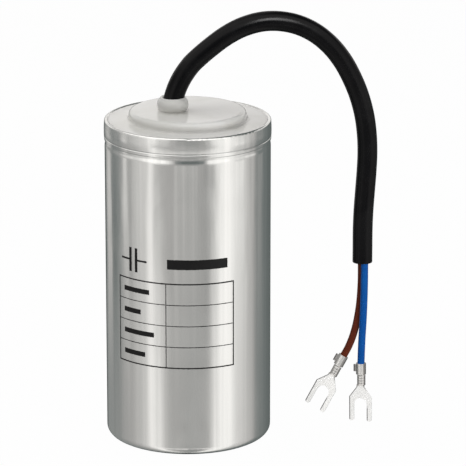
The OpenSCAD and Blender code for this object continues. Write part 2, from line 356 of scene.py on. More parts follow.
blue_core, blue_strands = make_core("blue", BLUE_ROUTE, BLUE_END, -CORE_STEP, BLUE_TILT)
brown_core, brown_strands = make_core("brown", BROWN_ROUTE, BROWN_END, CORE_STEP, BROWN_TILT)

# %% [markdown]
# ## Helpers for shader nodes
#
# A material is a small network of nodes. It could be laid out by hand in the shader editor. In a script, a
# few helpers keep the lines short: they add a node, link or set its inputs, and give back the socket to go
# on from.

# %% Nodes, links and math
def feed(tree, socket, value):
    """Links another socket into this one, or sets its value."""
    if isinstance(value, bpy.types.NodeSocket):
        tree.links.new(value, socket)
    else:
        socket.default_value = value


def add(tree, kind, inputs=None, **settings):
    """A node of the given kind, with its settings made and its inputs fed."""
    node = tree.nodes.new("ShaderNode" + kind)
    for name, value in settings.items():
        setattr(node, name, value)
    for name, value in (inputs or {}).items():
        feed(tree, node.inputs[name], value)
    return node


def calc(tree, operation, *values):
    """The output of one math step."""
    node = tree.nodes.new("ShaderNodeMath")
    node.operation = operation
    for socket, value in zip(node.inputs, values):
        feed(tree, socket, value)
    return node.outputs[0]


def fit_range(tree, value, low, high, to_low=0.0, to_high=1.0, smooth=False):
    """Maps a value from one range to another, and clamps it."""
    node = add(tree, "MapRange", interpolation_type="SMOOTHSTEP" if smooth else "LINEAR")
    for name, number in (("Value", value), ("From Min", low), ("From Max", high),
                         ("To Min", to_low), ("To Max", to_high)):
        feed(tree, node.inputs[name], number)
    return node.outputs[0]


print("helpers for nodes, links and math are ready")

# %% [markdown]
# ## Helpers for colours
#
# Paint and plastic are written as they look on screen, from 0 to 255. The renderer works with linear light,
# so a helper turns one into the other by the sRGB curve. Metals are given as linear values straight away,
# as shares of the light they throw back. The other helper mixes two colours. The Mix node has sockets for
# numbers, vectors and colours, so it picks the right ones.

# %% Mixing and writing colours
MIX_FACTOR = 0
MIX_FIRST_COLOUR = 6
MIX_SECOND_COLOUR = 7
MIX_COLOUR_OUT = 2


def mix_colour(tree, factor, first, second):
    """The first colour where the factor is nothing, and the second where it is one."""
    node = tree.nodes.new("ShaderNodeMix")
    node.data_type = "RGBA"
    feed(tree, node.inputs[MIX_FACTOR], factor)
    feed(tree, node.inputs[MIX_FIRST_COLOUR], first)
    feed(tree, node.inputs[MIX_SECOND_COLOUR], second)
    return node.outputs[MIX_COLOUR_OUT]


def screen_colour(red, green, blue):
    """A colour given as screen values from 0 to 255, as a linear colour."""
    def linear(v):
        v = v / 255
        return v / 12.92 if v <= 0.04045 else ((v + 0.055) / 1.055) ** 2.4
    return linear(red), linear(green), linear(blue), 1.0


print(f"middle grey on screen is {screen_colour(128, 128, 128)[0]:.2f} in linear light")

# %% [markdown]
# ## Helpers for groups and materials
#
# A node group is a small network with named sockets that can stand in many materials, like a stamp. These
# helpers make an empty group, place a group in a material, and make a material with its one shader.
# Patterns take their place from the object's own coordinates, which here are the frame's, so they stay put
# from every side.

# %% Groups and materials
def new_group(name, inputs, outputs):
    """An empty shader node group with named sockets, and its two end nodes."""
    tree = bpy.data.node_groups.new(name, "ShaderNodeTree")
    for socket in inputs:
        kind = "NodeSocketVector" if socket == "Vector" else "NodeSocketFloat"
        tree.interface.new_socket(name=socket, in_out="INPUT", socket_type=kind)
    for socket in outputs:
        tree.interface.new_socket(name=socket, in_out="OUTPUT", socket_type="NodeSocketFloat")
    start = tree.nodes.new("NodeGroupInput")
    end = tree.nodes.new("NodeGroupOutput")
    return tree, start.outputs, end.inputs


def use_group(tree, group, inputs):
    """Places a group in a material, and gives its outputs."""
    node = tree.nodes.new("ShaderNodeGroup")
    node.node_tree = group
    for name, value in inputs.items():
        feed(tree, node.inputs[name], value)
    return node.outputs


def new_material(name, **constants):
    """A material with one Principled shader. Numbers that hold all over are set on the shader itself."""
    material = bpy.data.materials.new(name)
    material.use_nodes = True
    shader = material.node_tree.nodes["Principled BSDF"]
    for socket, value in constants.items():
        shader.inputs[socket.replace("_", " ")].default_value = value
    return material, material.node_tree, shader


def object_place(tree):
    """The place on the object in metres, which is the frame's own place for every piece here."""
    return add(tree, "TexCoord").outputs["Object"]


print("helpers for groups and materials are ready")

# %% [markdown]
# ## Shared surface effects
#
# Three effects come back on several pieces, so each is a node group made once. Streaks are the long fine
# lines that drawing and rolling leave in metal, and that extrusion leaves in plastic. Grain is the fine
# unevenness of a moulded skin. Smudges are large soft patches where handling has changed the gloss. All
# three are noise, which needs no picture and doesn't repeat: streaks stretch it along one axis, and smudges
# keep only its hills.

# %% Streaks, grain and smudges
BROAD_SCALE = 0.23
TONE_SPAN = (0.3, 0.7)
SMUDGE_SPAN = (0.42, 0.68)

streaks, given, result = new_group("streaks", ["Vector", "Across", "Along"], ["Height", "Tone"])
stretch = add(streaks, "CombineXYZ", {"X": given["Across"], "Y": given["Across"], "Z": given["Along"]})
stretched = add(streaks, "VectorMath", {0: given["Vector"], 1: stretch.outputs[0]},
                operation="MULTIPLY").outputs[0]
fine = add(streaks, "TexNoise", {"Vector": stretched, "Scale": 1, "Detail": 3, "Roughness": 0.65})
broad = add(streaks, "TexNoise", {"Vector": stretched, "Scale": BROAD_SCALE, "Detail": 2})
feed(streaks, result["Height"], fine.outputs["Fac"])
feed(streaks, result["Tone"], fit_range(streaks, broad.outputs["Fac"], *TONE_SPAN, smooth=True))

grain, given, result = new_group("grain", ["Vector", "Scale"], ["Height"])
skin = add(grain, "TexNoise", {"Vector": given["Vector"], "Scale": given["Scale"], "Detail": 2,
                               "Roughness": 0.5})
feed(grain, result["Height"], skin.outputs["Fac"])

smudges, given, result = new_group("smudges", ["Vector", "Scale"], ["Mask"])
patches = add(smudges, "TexNoise", {"Vector": given["Vector"], "Scale": given["Scale"], "Detail": 4,
                                    "Distortion": 0.8})
feed(smudges, result["Mask"], fit_range(smudges, patches.outputs["Fac"], *SMUDGE_SPAN, smooth=True))
print("shared groups:", ", ".join(g.name for g in bpy.data.node_groups))

# %% [markdown]
# ## The print on the can
#
# The rating print of such a can is black ink, set straight on the metal. Here it is a plain blank data
# panel with the usual circuit sign of a capacitor, made of simple bars. A picture could be wrapped round
# the can, but bars that are worked out stay sharp at any distance. All sizes are millimetres along the
# wall's arc and up it.

# %% Layout of the bars
PANEL_LEFT = -23.4
PANEL_RIGHT = 14.4
PANEL_LOW = 27.6
PANEL_HIGH = 53.6
PANEL_ROWS = 4
PANEL_SPLIT = -6.4
RULE = 0.42
FINE_RULE = 0.26
FIELD_MARKS = [9.5, 6.5, 11, 8]
FIELD_MARK_HEIGHT = 1.5
FIELD_MARK_INSET = 2.2
SIGN_MIDDLE = -17.4
SIGN_HEIGHT = 59.6
PLATE_GAP = 2.2
PLATE_HEIGHT = 7.4
PLATE_WIDTH = 1
LEAD_REACH = 6
LEAD_HEIGHT = 0.6
HEAD_BAR = (3.2, SIGN_HEIGHT, 18.4, 3)


def panel_bars():
    """The print as (middle arc, middle height, width, height) in millimetres."""
    wide = PANEL_RIGHT - PANEL_LEFT
    tall = PANEL_HIGH - PANEL_LOW
    middle = (PANEL_LEFT + PANEL_RIGHT) / 2
    centre = (PANEL_LOW + PANEL_HIGH) / 2
    row = tall / PANEL_ROWS
    bars = [(middle, z, wide + RULE, RULE) for z in (PANEL_LOW, PANEL_HIGH)]
    bars += [(a, centre, RULE, tall) for a in (PANEL_LEFT, PANEL_RIGHT)]
    bars += [(PANEL_SPLIT, centre, FINE_RULE, tall)]
    bars += [(middle, PANEL_LOW + row * i, wide, FINE_RULE) for i in range(1, PANEL_ROWS)]
    for i, mark in enumerate(FIELD_MARKS):
        bars.append((PANEL_LEFT + FIELD_MARK_INSET + mark / 2, PANEL_HIGH - row * (i + 0.5), mark,
                     FIELD_MARK_HEIGHT))
    lead = LEAD_REACH - PLATE_GAP
    for side in (-1, 1):
        plate = SIGN_MIDDLE + side * PLATE_GAP / 2
        bars.append((plate, SIGN_HEIGHT, PLATE_WIDTH, PLATE_HEIGHT))
        bars.append((plate + side * lead / 2, SIGN_HEIGHT, lead, LEAD_HEIGHT))
    return bars + [HEAD_BAR]


print("bars in the print:", len(panel_bars()))

# %% [markdown]
# ## Bars into ink
#
# The can's place is unrolled into an arc and a height, and each bar is a small test on those two values, so
# it is a node group that is placed once for each bar. Ink on bare metal never ends in a perfect line. A
# fine noise shifts the edges by a few hundredths of a millimetre.

# %% Mask of the ink
WALL_R = 24.8
RAGGED_SCALE = 3200
RAGGED_SPAN = (0.2, 0.8)
RAGGED_SHIFT = 0.06

ink_bar, given, result = new_group(
    "ink_bar", ["Arc", "Height", "Middle Arc", "Middle Height", "Half Width", "Half Height"], ["Mask"])
in_width = calc(ink_bar, "COMPARE", given["Arc"], given["Middle Arc"], given["Half Width"])
in_height = calc(ink_bar, "COMPARE", given["Height"], given["Middle Height"], given["Half Height"])
feed(ink_bar, result["Mask"], calc(ink_bar, "MULTIPLY", in_width, in_height))


def print_mask(tree, place):
    """One where there is ink, with the slightly ragged edge that printing on metal has."""
    axes = add(tree, "SeparateXYZ", {0: place}).outputs
    ragged = add(tree, "TexNoise", {"Vector": place, "Scale": RAGGED_SCALE, "Detail": 1}).outputs["Fac"]
    shift = fit_range(tree, ragged, *RAGGED_SPAN, -RAGGED_SHIFT, RAGGED_SHIFT)
    angle = calc(tree, "ARCTAN2", axes["X"], calc(tree, "MULTIPLY", axes["Y"], -1))
    arc = calc(tree, "MULTIPLY_ADD", angle, WALL_R, shift)
    height = calc(tree, "MULTIPLY_ADD", axes["Z"], 1 / MM, shift)
    mask = 0.0
    for middle_arc, middle_height, width, tall in panel_bars():
        bar = use_group(tree, ink_bar, {"Arc": arc, "Height": height, "Middle Arc": middle_arc,
                                        "Middle Height": middle_height, "Half Width": width / 2,
                                        "Half Height": tall / 2})
        mask = calc(tree, "MAXIMUM", bar["Mask"], mask)
    return mask


print("an ink bar is a group of", len(ink_bar.nodes), "nodes")

# %% [markdown]
# ## Drawn aluminium
#
# The can is pressed from one slug of soft aluminium and drawn through a die, which leaves fine upright
# lines of slightly different tone. At the rolled bead and at the fine line below the mouth, two thin lines
# are painted a shade darker, as painted shade in their grooves. One plain metal colour would look like
# chrome. Two close tones, the painted shade lines and the ink make it this can. The ink is no metal, so it
# alone takes its shine from the shader's specular level, which is set low.

# %% Colours of the can
ALUMINIUM = (0.80, 0.81, 0.80, 1)
ALUMINIUM_DULL = (0.73, 0.745, 0.735, 1)
ALUMINIUM_PAINTED_SHADE = (0.55, 0.56, 0.555, 1)
INK = screen_colour(22, 22, 22)
INK_SHINE = 0.15
DRAWN_ACROSS = 2600
DRAWN_ALONG = 28
PAINTED_SHADE_LINES = [(93.1, 0.1), (91.93, 0.06)]
PAINTED_SHADE_SOFT = 0.1

can_metal, tree, shader = new_material("drawn_aluminium", Specular_IOR_Level=INK_SHINE)
place = object_place(tree)
height = add(tree, "SeparateXYZ", {0: place}).outputs["Z"]
lines = use_group(tree, streaks, {"Vector": place, "Across": DRAWN_ACROSS, "Along": DRAWN_ALONG})
ink = print_mask(tree, place)
metal = mix_colour(tree, lines["Tone"], ALUMINIUM, ALUMINIUM_DULL)
# Painted shade: two thin bands at the roll lines are painted darker, as the shade in their grooves.
for middle, half in PAINTED_SHADE_LINES:
    off = calc(tree, "ABSOLUTE", calc(tree, "SUBTRACT", height, middle * MM))
    painted_shade_mask = fit_range(tree, off, half * MM, (half + PAINTED_SHADE_SOFT) * MM, 1, 0, smooth=True)
    metal = mix_colour(tree, painted_shade_mask, metal, ALUMINIUM_PAINTED_SHADE)
feed(tree, shader.inputs["Base Color"], mix_colour(tree, ink, metal, INK))
feed(tree, shader.inputs["Metallic"], calc(tree, "SUBTRACT", 1, ink))
print("nodes for the can's colours:", len(tree.nodes))

# %% [markdown]
# ## The can's gloss
#
# Drawn metal is satin, and no two places of it are quite alike. Each cause of unevenness adds its own small
# number to the roughness: the drawn lines, smudges from handling, and the band at the mouth, which the
# rolls have left more satin. Towards the mouth the wall is a little shinier. Ink is the dullest.

# %% Roughness of the can
SATIN = 0.14
DRAWN_SATIN = 0.05
SMUDGE_SATIN = 0.05
BAND_SATIN = 0.06
INK_SATIN = 0.2
MOUTH_POLISH = -0.02
CAN_SMUDGES = 45
WAVE_FROM = 30
WAVE_FULL = 85
WAVE_REST = 0.05
BAND_FOOT = 92.6
BAND_LOW = 93.3

marks = use_group(tree, smudges, {"Vector": place, "Scale": CAN_SMUDGES})
wave_share = fit_range(tree, height, WAVE_FROM * MM, WAVE_FULL * MM, WAVE_REST, 1, smooth=True)
gloss = calc(tree, "MULTIPLY_ADD", wave_share, MOUTH_POLISH, SATIN)
gloss = calc(tree, "MULTIPLY_ADD", lines["Tone"], DRAWN_SATIN, gloss)
gloss = calc(tree, "MULTIPLY_ADD", marks["Mask"], SMUDGE_SATIN, gloss)
on_band = fit_range(tree, height, BAND_FOOT * MM, BAND_LOW * MM, smooth=True)
gloss = calc(tree, "MULTIPLY_ADD", on_band, BAND_SATIN, gloss)
feed(tree, shader.inputs["Roughness"], calc(tree, "MULTIPLY_ADD", ink, INK_SATIN, gloss))
print(f"bare metal has a roughness from {SATIN + MOUTH_POLISH:.2f} up")

# %% [markdown]
# ## The can's fine relief
#
# Rolling the bead also leaves shallow waves in the wall near the mouth, which make the reflections wander,
# and it draws the band's lower half in a little. Such forms are so shallow that only reflections show them,
# so they are bump: the waves first, the band on top of them, and the drawn lines, a few thousandths of a
# millimetre deep, last.

# %% Waves, band and drawn lines
WAVE_SCALE = (130, 130, 20)
WAVE_DEPTH = 0.25
BAND_CREST = 95.5
BAND_DRAW = 0.034
DRAWN_DEPTH = 0.004

wave_place = add(tree, "VectorMath", {0: place, 1: WAVE_SCALE}, operation="MULTIPLY").outputs[0]
waves = add(tree, "TexNoise", {"Vector": wave_place, "Scale": 1, "Detail": 2}).outputs["Fac"]
wave_height = calc(tree, "MULTIPLY", waves, wave_share)
wave_bump = add(tree, "Bump", {"Height": wave_height, "Distance": WAVE_DEPTH * MM}).outputs[0]
below = fit_range(tree, height, BAND_LOW * MM, BAND_CREST * MM, BAND_CREST - BAND_LOW, 0)
drawn_in = calc(tree, "MULTIPLY", calc(tree, "MULTIPLY", below, below), -BAND_DRAW)
band_bump = add(tree, "Bump", {"Height": drawn_in, "Distance": MM, "Normal": wave_bump}).outputs[0]
line_bump = add(tree, "Bump", {"Height": lines["Height"], "Distance": DRAWN_DEPTH * MM,
                               "Normal": band_bump})
feed(tree, shader.inputs["Normal"], line_bump.outputs[0])
print(f"the band's foot is drawn in by {BAND_DRAW * (BAND_CREST - BAND_LOW) ** 2:.2f} mm")

# %% [markdown]
# ## Milky plastic
#
# The cover is moulded in an unpigmented plastic that lets some light in. White paint would look like chalk.
# A little subsurface scattering makes its edges glow instead, under a soft gloss with a faint grain. The
# collar stands clear of the cover and its wall is thin, with the black cable inside. It is painted a shade
# greyer, as painted shade for its upright sides.

# %% The cover's material
COVER_CLEAN = screen_colour(230, 229, 226)
COVER_SHADE = screen_colour(222, 221, 216)
COVER_COLLAR_PAINTED_SHADE = screen_colour(213, 212, 208)
COLLAR_FROM = 101.2
COLLAR_FULL = 102.4
COVER_SMUDGES = 60
COVER_GRAIN = 1800
COVER_GLOSS = 0.05
COVER_WORN = 0.05
GRAIN_DEPTH = 0.004
GLOW_DEPTH = 4

cover_plastic, tree, shader = new_material(
    "milky_plastic", IOR=1.49, Subsurface_Weight=0.35, Subsurface_Radius=(1, 1, 1),
    Subsurface_Scale=GLOW_DEPTH * MM)
place = object_place(tree)
marks = use_group(tree, smudges, {"Vector": place, "Scale": COVER_SMUDGES})
skin = use_group(tree, grain, {"Vector": place, "Scale": COVER_GRAIN})
height = add(tree, "SeparateXYZ", {0: place}).outputs["Z"]
milky = mix_colour(tree, marks["Mask"], COVER_CLEAN, COVER_SHADE)
# Painted shade: above this height the collar is painted greyer.
collar_painted_shade = fit_range(tree, height, COLLAR_FROM * MM, COLLAR_FULL * MM, smooth=True)
feed(tree, shader.inputs["Base Color"], mix_colour(tree, collar_painted_shade, milky, COVER_COLLAR_PAINTED_SHADE))
gloss = calc(tree, "MULTIPLY_ADD", marks["Mask"], COVER_WORN, COVER_GLOSS)
feed(tree, shader.inputs["Roughness"], gloss)
bump = add(tree, "Bump", {"Height": skin["Height"], "Distance": GRAIN_DEPTH * MM})
feed(tree, shader.inputs["Normal"], bump.outputs[0])
print("cover nodes:", len(tree.nodes))

# %% [markdown]
# ## Cable plastics
#
# Sheath and core insulation are the same soft PVC in three colours, so one function makes all three.
# Extrusion leaves faint lines that run along the cord, so the streaks read the UV map made with the tubes:
# its U goes round and its V goes along. Handling leaves soft patches that are a shade paler and duller.

# %% The plastics of sheath and cores
CABLE_GRAIN = 2600
CABLE_SMUDGES = 110
CABLE_LINES = 0.05
CABLE_WORN = 0.08


def cable_plastic(name, clean, worn, rough, turns):
    """Soft PVC with extrusion lines along the cord. turns is the number of line steps round it."""
    material, tree, shader = new_material(name, IOR=1.5, Specular_IOR_Level=0.11)
    place = object_place(tree)
    round_along = add(tree, "UVMap", uv_map=TUBE_UV).outputs[0]
    flow = use_group(tree, streaks, {"Vector": round_along, "Across": turns, "Along": 0})
    skin = use_group(tree, grain, {"Vector": place, "Scale": CABLE_GRAIN})
    marks = use_group(tree, smudges, {"Vector": place, "Scale": CABLE_SMUDGES})
    feed(tree, shader.inputs["Base Color"], mix_colour(tree, marks["Mask"], clean, worn))
    gloss = calc(tree, "MULTIPLY_ADD", flow["Tone"], CABLE_LINES, rough)
    feed(tree, shader.inputs["Roughness"], calc(tree, "MULTIPLY_ADD", marks["Mask"], CABLE_WORN, gloss))
    bump = add(tree, "Bump", {"Height": skin["Height"], "Distance": GRAIN_DEPTH * MM})
    feed(tree, shader.inputs["Normal"], bump.outputs[0])
    return material


black_pvc = cable_plastic("black_pvc", clean=screen_colour(5, 5, 6), worn=screen_colour(9, 9, 10),
                          rough=0.2, turns=40)
blue_pvc = cable_plastic("blue_pvc", clean=screen_colour(2, 72, 144), worn=screen_colour(5, 78, 150),
                         rough=0.34, turns=20)
brown_pvc = cable_plastic("brown_pvc", clean=screen_colour(86, 34, 18), worn=screen_colour(94, 40, 22),
                          rough=0.34, turns=20)
print("cable plastics:", black_pvc.name, blue_pvc.name, brown_pvc.name)

# %% [markdown]
# ## Painted shade and shine on the barrels
#
# The terminals are stamped from strip and crimped. Their barrels are painted darker at the sides and in
# the tool's three grooves, with a lighter stripe in the middle: painted shade and a painted highlight, as a
# round barrel would show them. Such marks could be painted by hand on a UV map. Both terminals carry the
# same ones, so a node group finds them from two values in millimetres: how far a spot lies across the
# strip, and how deep it lies below the terminal's cable end.

# %% Painted shade and highlight on the barrels
CRIMP_DEPTH = 6.9
NECK_DEPTH = 7.3
PAINTED_SHINE_MIDDLE = 0.25
PAINTED_SHINE_HALF = 0.35
PAINTED_SHADE_HALF = 1.05
GROOVE_DEPTHS = (4.67, 5.45, 6.22)
GROOVE_HALF = 0.11

painted_terminal_shade, given, result = new_group("terminal_painted_shade", ["Across", "Depth"], ["Barrel", "Painted Shade", "Edges"])
across, depth = given["Across"], given["Depth"]
barrel = fit_range(painted_terminal_shade, depth, CRIMP_DEPTH, NECK_DEPTH, 1, 0, smooth=True)
# Painted highlight in the middle of the barrel, painted shade towards its sides and in the grooves.
from_painted_shine = calc(painted_terminal_shade, "ABSOLUTE", calc(painted_terminal_shade, "SUBTRACT", across, PAINTED_SHINE_MIDDLE))
painted_shade = fit_range(painted_terminal_shade, from_painted_shine, PAINTED_SHINE_HALF, PAINTED_SHADE_HALF, smooth=True)
for groove in GROOVE_DEPTHS:
    in_groove = calc(painted_terminal_shade, "COMPARE", depth, groove, GROOVE_HALF)
    painted_shade = calc(painted_terminal_shade, "MAXIMUM", painted_shade, in_groove)
feed(painted_terminal_shade, result["Barrel"], barrel)
feed(painted_terminal_shade, result["Painted Shade"], painted_shade)
print("grooves of the tool:", len(GROOVE_DEPTHS))

# %% [markdown]
# ## Painted dark edges
#
# Thin dark lines are painted along the fork's left side, on one side of its slot, at the right of the neck
# and on the ear of the grip, as painted shade along those edges.
# The same group marks them, from the outline of the fork: its half width grows from the neck to the tines.

# %% Painted dark edges of the fork
SHOULDER_DEPTH = 7.4
FORK_DEPTH = 10.6
NECK_HALF = 1.2
FORK_HALF = 3.5
EDGE_WIDTH = 0.24
EDGE_SOFT = 0.08
NECK_SHADE = 0.6
NECK_SHADE_END = 8.6
SLOT_HALF = 2
SLOT_DEPTH = 13
SLOT_FADE = 1.5
SLOT_OVERLAP = 0.02
EAR_EDGE = -2.15

half_width = fit_range(painted_terminal_shade, depth, SHOULDER_DEPTH, FORK_DEPTH, NECK_HALF, FORK_HALF)
from_left = calc(painted_terminal_shade, "ADD", across, half_width)
from_right = calc(painted_terminal_shade, "SUBTRACT", half_width, across)
# Painted shade: thin dark lines along the fork's edges, its slot, its neck and the ear.
outer = fit_range(painted_terminal_shade, from_left, EDGE_WIDTH, EDGE_WIDTH + EDGE_SOFT, 1, 0)
outer = calc(painted_terminal_shade, "MULTIPLY", outer, calc(painted_terminal_shade, "SUBTRACT", 1, barrel))
neck = fit_range(painted_terminal_shade, from_right, EDGE_WIDTH, EDGE_WIDTH + EDGE_SOFT, 1, 0)
neck_fade = fit_range(painted_terminal_shade, depth, SHOULDER_DEPTH, NECK_SHADE_END, NECK_SHADE, 0)
neck = calc(painted_terminal_shade, "MULTIPLY", neck, neck_fade)
inner = calc(painted_terminal_shade, "COMPARE", across, SLOT_HALF + EDGE_WIDTH / 2, EDGE_WIDTH / 2 + SLOT_OVERLAP)
inner = calc(painted_terminal_shade, "MULTIPLY", inner, fit_range(painted_terminal_shade, depth, SLOT_DEPTH, SLOT_DEPTH + SLOT_FADE))
ear = calc(painted_terminal_shade, "MULTIPLY", calc(painted_terminal_shade, "LESS_THAN", across, EAR_EDGE), barrel)
painted_shade_edges = outer
for mark in (neck, inner, ear):
    painted_shade_edges = calc(painted_terminal_shade, "MAXIMUM", painted_shade_edges, mark)
feed(painted_terminal_shade, result["Edges"], painted_shade_edges)
print("nodes that find the marks:", len(painted_terminal_shade.nodes))

# %% [markdown]
# ## Tin plate
#
# The strip is brass with a coat of tin: pale, a little matt, with faint rolling lines along its length. A
# full metal would mirror the dark parts of the room, so the soft plate is only partly metallic, and the
# pressed barrels are more so. Each terminal hangs at its own tilt and is turned about its own axis. Its
# material turns every place back to an upright terminal, so that lines and marks follow the strip.

# %% The terminals' material
TIN = (0.95, 0.95, 0.94, 1)
TIN_DULL = (0.92, 0.92, 0.905, 1)
TIN_PAINTED_SHINE = (0.86, 0.855, 0.84, 1)
TIN_PAINTED_SHADE = (0.4, 0.395, 0.385, 1)
TIN_PAINTED_EDGE_SHADE = (0.14, 0.138, 0.135, 1)
BLUE_TWIST = math.radians(-23)
BROWN_TWIST = math.radians(-30)
ROLLED_ACROSS = 5000
ROLLED_ALONG = 300
ROLLED_DEPTH = 0.0008
PLATE_SMUDGES = 260
PLATE_METALLIC = 0.35
BARREL_METALLIC = 0.5
PLATE_GLOSS = 0.33
ROLLED_GLOSS = 0.06


def plated_strip(name, end, side, tilt, twist):
    """Tin plate whose lines follow a terminal that hangs at a tilt and is turned about its own axis."""
    material, tree, shader = new_material(name)
    place = object_place(tree)
    top = in_cable_plane(end[0], side, end[1])
    turn = CABLE_TURN + twist
    width_axis = Vector((math.cos(turn), math.sin(turn), 0)) / MM
    turned = add(tree, "VectorRotate", {"Vector": place, "Center": top, "Axis": ACROSS, "Angle": -tilt},
                 rotation_type="AXIS_ANGLE").outputs[0]
    from_top = add(tree, "VectorMath", {0: turned, 1: top}, operation="SUBTRACT").outputs[0]
    sideways = add(tree, "VectorMath", {0: from_top, 1: width_axis},
                   operation="DOT_PRODUCT").outputs["Value"]
    depth = calc(tree, "DIVIDE", add(tree, "SeparateXYZ", {0: from_top}).outputs["Z"], -MM)
    found = use_group(tree, painted_terminal_shade, {"Across": sideways, "Depth": depth})
    lines = use_group(tree, streaks, {"Vector": turned, "Across": ROLLED_ACROSS, "Along": ROLLED_ALONG})
    marks = use_group(tree, smudges, {"Vector": place, "Scale": PLATE_SMUDGES})
    plate = mix_colour(tree, marks["Mask"], TIN, TIN_DULL)
    # The barrels' painted shade and painted highlight go into the plate's colour.
    barrel_shine_and_shade = mix_colour(tree, found["Painted Shade"], TIN_PAINTED_SHINE, TIN_PAINTED_SHADE)
    plate = mix_colour(tree, found["Barrel"], plate, barrel_shine_and_shade)
    metallic = calc(tree, "MULTIPLY_ADD", found["Barrel"], BARREL_METALLIC, PLATE_METALLIC)
    # The painted dark edges go on last.
    feed(tree, shader.inputs["Base Color"], mix_colour(tree, found["Edges"], plate, TIN_PAINTED_EDGE_SHADE))
    feed(tree, shader.inputs["Metallic"], metallic)
    gloss = calc(tree, "MULTIPLY_ADD", lines["Tone"], ROLLED_GLOSS, PLATE_GLOSS)
    feed(tree, shader.inputs["Roughness"], gloss)
    bump = add(tree, "Bump", {"Height": lines["Height"], "Distance": ROLLED_DEPTH * MM})
    feed(tree, shader.inputs["Normal"], bump.outputs[0])
    return material


blue_plate = plated_strip("tin_plate_upright", BLUE_END, -CORE_STEP, BLUE_TILT, BLUE_TWIST)
brown_plate = plated_strip("tin_plate_tilted", BROWN_END, CORE_STEP, BROWN_TILT, BROWN_TWIST)
print("tin plate:", blue_plate.name, brown_plate.name)

# %% [markdown]
# ## Bare copper
#
# The strands are bare copper that has just begun to darken in the air. So little of them shows that two
# tones of one metal are enough. The darker patches are also the duller ones.

# %% The strands' material
COPPER = (0.80, 0.42, 0.24, 1)
COPPER_DULL = (0.55, 0.26, 0.14, 1)
COPPER_PATCHES = 900
COPPER_GLOSS = 0.3
COPPER_WORN = 0.2

copper, tree, shader = new_material("bare_copper", Metallic=1)
marks = use_group(tree, smudges, {"Vector": object_place(tree), "Scale": COPPER_PATCHES})
feed(tree, shader.inputs["Base Color"], mix_colour(tree, marks["Mask"], COPPER, COPPER_DULL))
gloss = calc(tree, "MULTIPLY_ADD", marks["Mask"], COPPER_WORN, COPPER_GLOSS)
feed(tree, shader.inputs["Roughness"], gloss)
print("copper nodes:", len(tree.nodes))

# %% [markdown]
# ## Dressing the pieces
#
# Every piece now gets its finish in place of the plain one it came with. The cable and the terminals hang
# close to the can and would stand in it as dark stripes. A photographer takes such stripes out afterwards.
# Here those pieces are hidden from mirror rays, so the can shows the studio and nothing else.

# %% Put the finishes on
finishes = {
    nodes["can"]: can_metal,
    nodes["top_cover"]: cover_plastic,
    nodes["blue_terminal"]: blue_plate,
    nodes["brown_terminal"]: brown_plate,
    sheath: black_pvc,
    blue_core: blue_pvc,
    brown_core: brown_pvc,
    blue_strands: copper,
    brown_strands: copper,
}
for piece, material in finishes.items():
    piece.data.materials.clear()
    piece.data.materials.append(material)
    piece.visible_glossy = piece in (nodes["can"], nodes["top_cover"])
    print(piece.name, "wears", material.name)

# %% [markdown]
# ## The studio
#
# Shiny metal has no look of its own: it shows the room. In a studio, two tall soft boxes stand to the left
# and right, and dark flags stand beyond them to draw the can's edges. Each could be a lamp, but lamps in
# reflections are hard to shape. Here the room is painted by compass angle on a wide dome that only glossy
# rays see, so that nothing of it stands in the picture. A colour ramp gives the levels all round, with the
# front at zero degrees.

# %% Soft boxes and flags by compass
FULL_TURN = 360
RAMP_MIDDLE = 0.5
SURROUND = [
    (-180, 0.06), (-164, 0.06), (-156, 0.28), (-136, 0.3), (-115, 0.33), (-85, 0.45), (-70, 0.58),
    (-60, 0.72), (-56, 0.98), (-50, 1.1), (-40, 1.1), (-34, 0.66), (-22, 0.43), (0, 0.34), (14, 0.34),
    (30, 0.44), (35, 1.14), (66, 1.14), (71, 0.7), (96, 0.58), (104, 0.42), (113, 0.25), (145, 0.17),
    (165, 0.13), (180, 0.08),
]


def grey(value):
    """A neutral colour of the given level."""
    return value, value, value, 1


def compass_ramp(tree, compass):
    """The soft boxes and flags by compass angle, as seen from the object."""
    share = calc(tree, "MULTIPLY_ADD", compass, 1 / (2 * math.pi), RAMP_MIDDLE)
    ramp = add(tree, "ValToRGB", {"Fac": share})
    stops = ramp.color_ramp.elements
    for angle, _ in SURROUND[len(stops):]:
        stops.new(angle / FULL_TURN + RAMP_MIDDLE)
    for stop, (angle, value) in zip(stops, SURROUND):
        stop.position = angle / FULL_TURN + RAMP_MIDDLE
        stop.color = grey(value)
    return ramp.outputs["Color"]


print("levels round the room:", len(SURROUND))

# %% [markdown]
# ## Cards and flags
#
# A photographer shapes the reflections further with small cards and flags. A panel here is its middle, its
# half width and its soft edge in degrees, and its level of grey. Where it hangs decides which part of the
# can shows it. A height on the dome is written as a share of its radius, and the object stands at zero.

# %% Hang a panel
def hang_panel(tree, colour, compass, panel, share):
    """Hangs one panel before what is there already, as far as share lets it show."""
    middle, half, soft, level = panel
    off = calc(tree, "ABSOLUTE", calc(tree, "SUBTRACT", compass, math.radians(middle)))
    span = fit_range(tree, off, math.radians(half), math.radians(half + soft), 1, 0, smooth=True)
    return mix_colour(tree, calc(tree, "MULTIPLY", span, share), colour, grey(level))


def between(tree, rise, foot, head):
    """One between two soft edges on the dome, the lower at foot and the upper at head."""
    return calc(tree, "MINIMUM", fit_range(tree, rise, *foot, smooth=True),
                fit_range(tree, rise, *head, 1, 0, smooth=True))


print("a panel is its middle, half width, soft edge and level")

# %% [markdown]
# ## What the wall, the bead and the band see
#
# Three rows of panels follow. The can's upper wall sees the first row, with one flag that leans, because
# the reflections there aren't quite upright. The bead's sloping side sees the high row, as two bright
# crescents. The band's foot, which faces down a little, sees the table.

